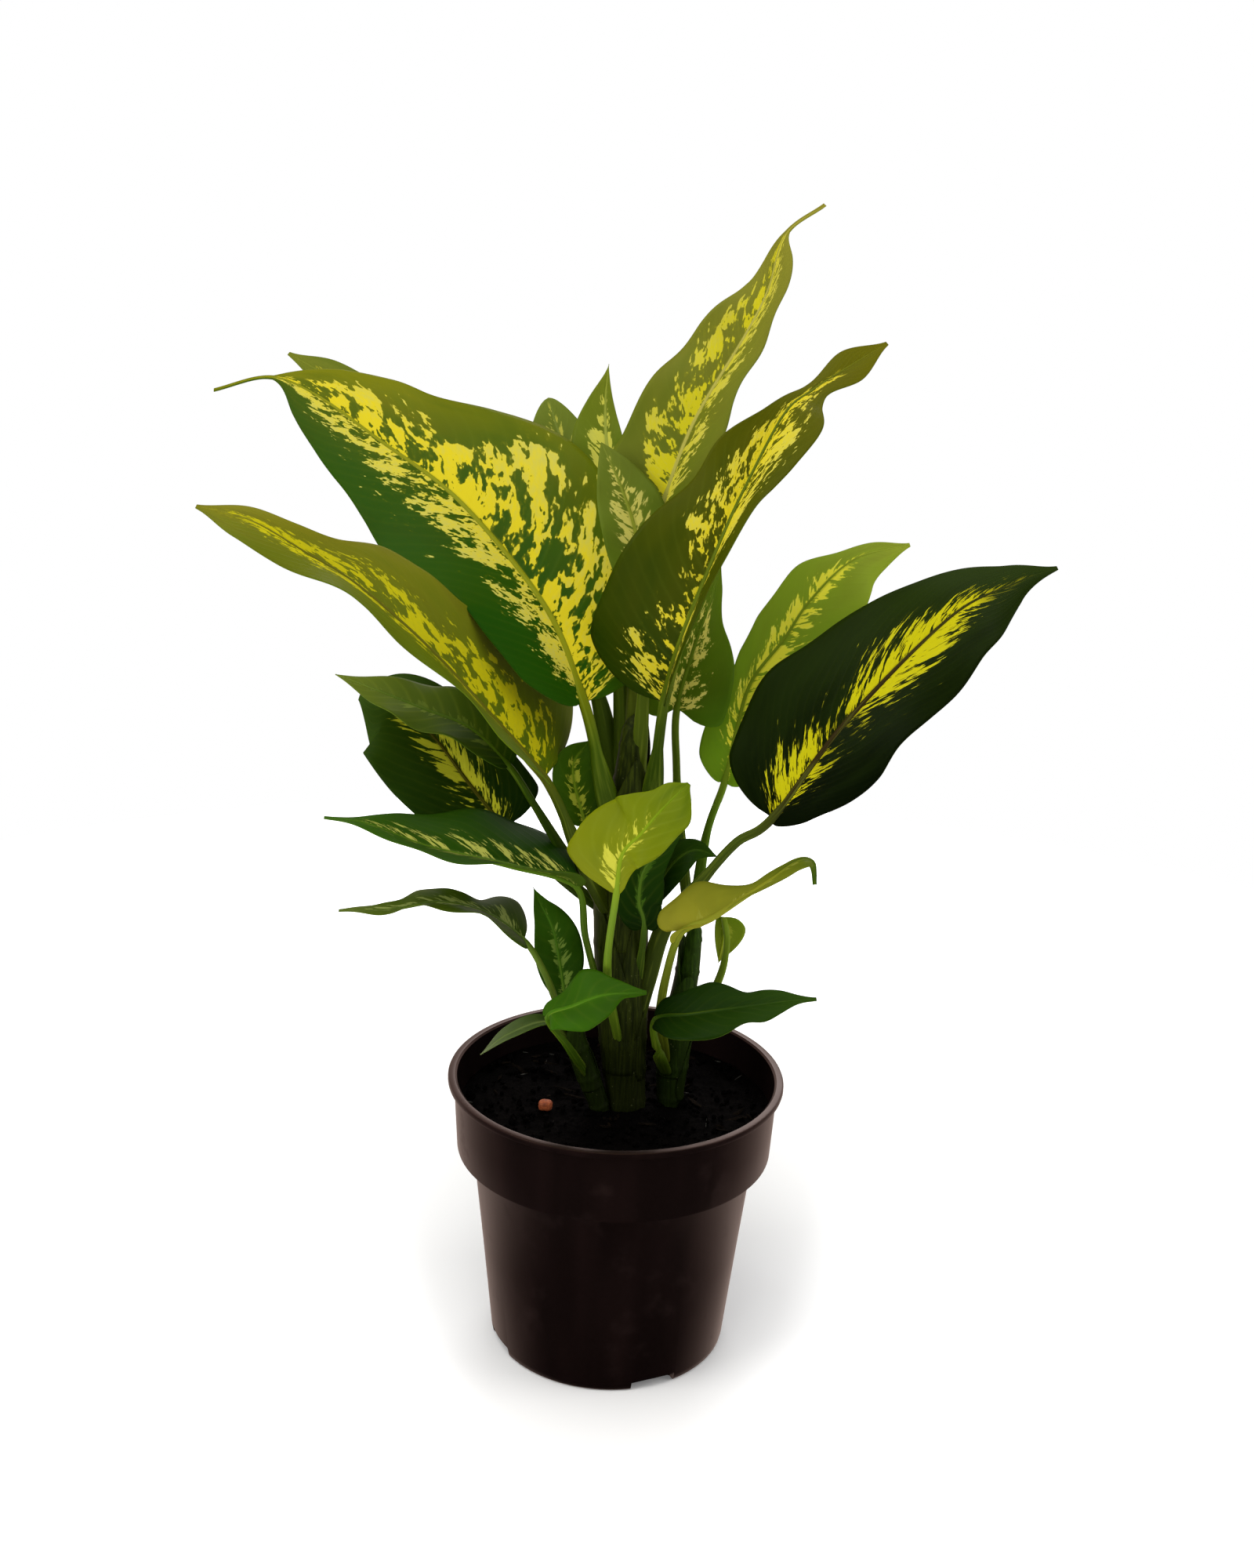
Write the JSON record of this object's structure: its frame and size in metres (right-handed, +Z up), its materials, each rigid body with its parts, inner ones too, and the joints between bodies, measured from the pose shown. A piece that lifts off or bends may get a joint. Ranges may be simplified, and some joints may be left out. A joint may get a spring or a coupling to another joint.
{
  "type": "potted dieffenbachia",
  "caption": "Tall dieffenbachia with broad green leaves splashed with yellow, on upright canes in a round brown plastic nursery pot of soil.",
  "frame": {"origin": "middle of the pot's flat underside, on the pot's axis", "axes": "+Z up along the pot's axis, +X to the right and -Y towards the viewer of the plant's front"},
  "size_m": [0.4034, 0.2171, 0.5707],
  "materials": {
    "pot_plastic": "satin brown-black moulded polypropylene",
    "soil": "rough moist potting soil with bark fibres",
    "pellet": "dull orange-brown fertiliser pellet",
    "stem": "smooth green cane with dry sheaths",
    "leaf_variegated": "waxy green leaf with splashes of yellow",
    "leaf_dark": "glossy dark green leaf with a yellow feather along the midrib",
    "leaf_green": "satin mid-green leaf with a few pale flecks",
    "leaf_lime": "satin lime-yellow young leaf"
  },
  "bodies": {
    "root": {"nursery_pot": "pot_plastic", "potting_soil": "soil", "fertiliser_pellet": "pellet", "stem_main": "stem", "stem_left": "stem", "stem_right": "stem", "leaf_upper_left_broad": "leaf_variegated", "leaf_left_long": "leaf_variegated", "leaf_top": "leaf_variegated", "leaf_centre_tall": "leaf_variegated", "leaf_back_left": "leaf_variegated", "leaf_back_rounded": "leaf_variegated", "leaf_back_pointed": "leaf_variegated", "leaf_back_centre": "leaf_variegated", "leaf_right_dark": "leaf_dark", "leaf_mid_left_dark": "leaf_dark", "leaf_low_left": "leaf_dark", "leaf_low_right_dark": "leaf_dark", "leaf_small_dark_right": "leaf_dark", "leaf_small_dark_centre": "leaf_dark", "leaf_right_light": "leaf_green", "leaf_behind_centre": "leaf_green", "leaf_mid_left_upper": "leaf_green", "leaf_low_left_wavy": "leaf_green", "leaf_small_centre_left": "leaf_green", "leaf_base_left_bright": "leaf_green", "leaf_small_upright_left": "leaf_green", "leaf_small_hanging_right": "leaf_green", "leaf_base_left_narrow": "leaf_green", "leaf_front_lime": "leaf_lime", "leaf_low_right_pale": "leaf_lime"}
  },
  "joints": []
}
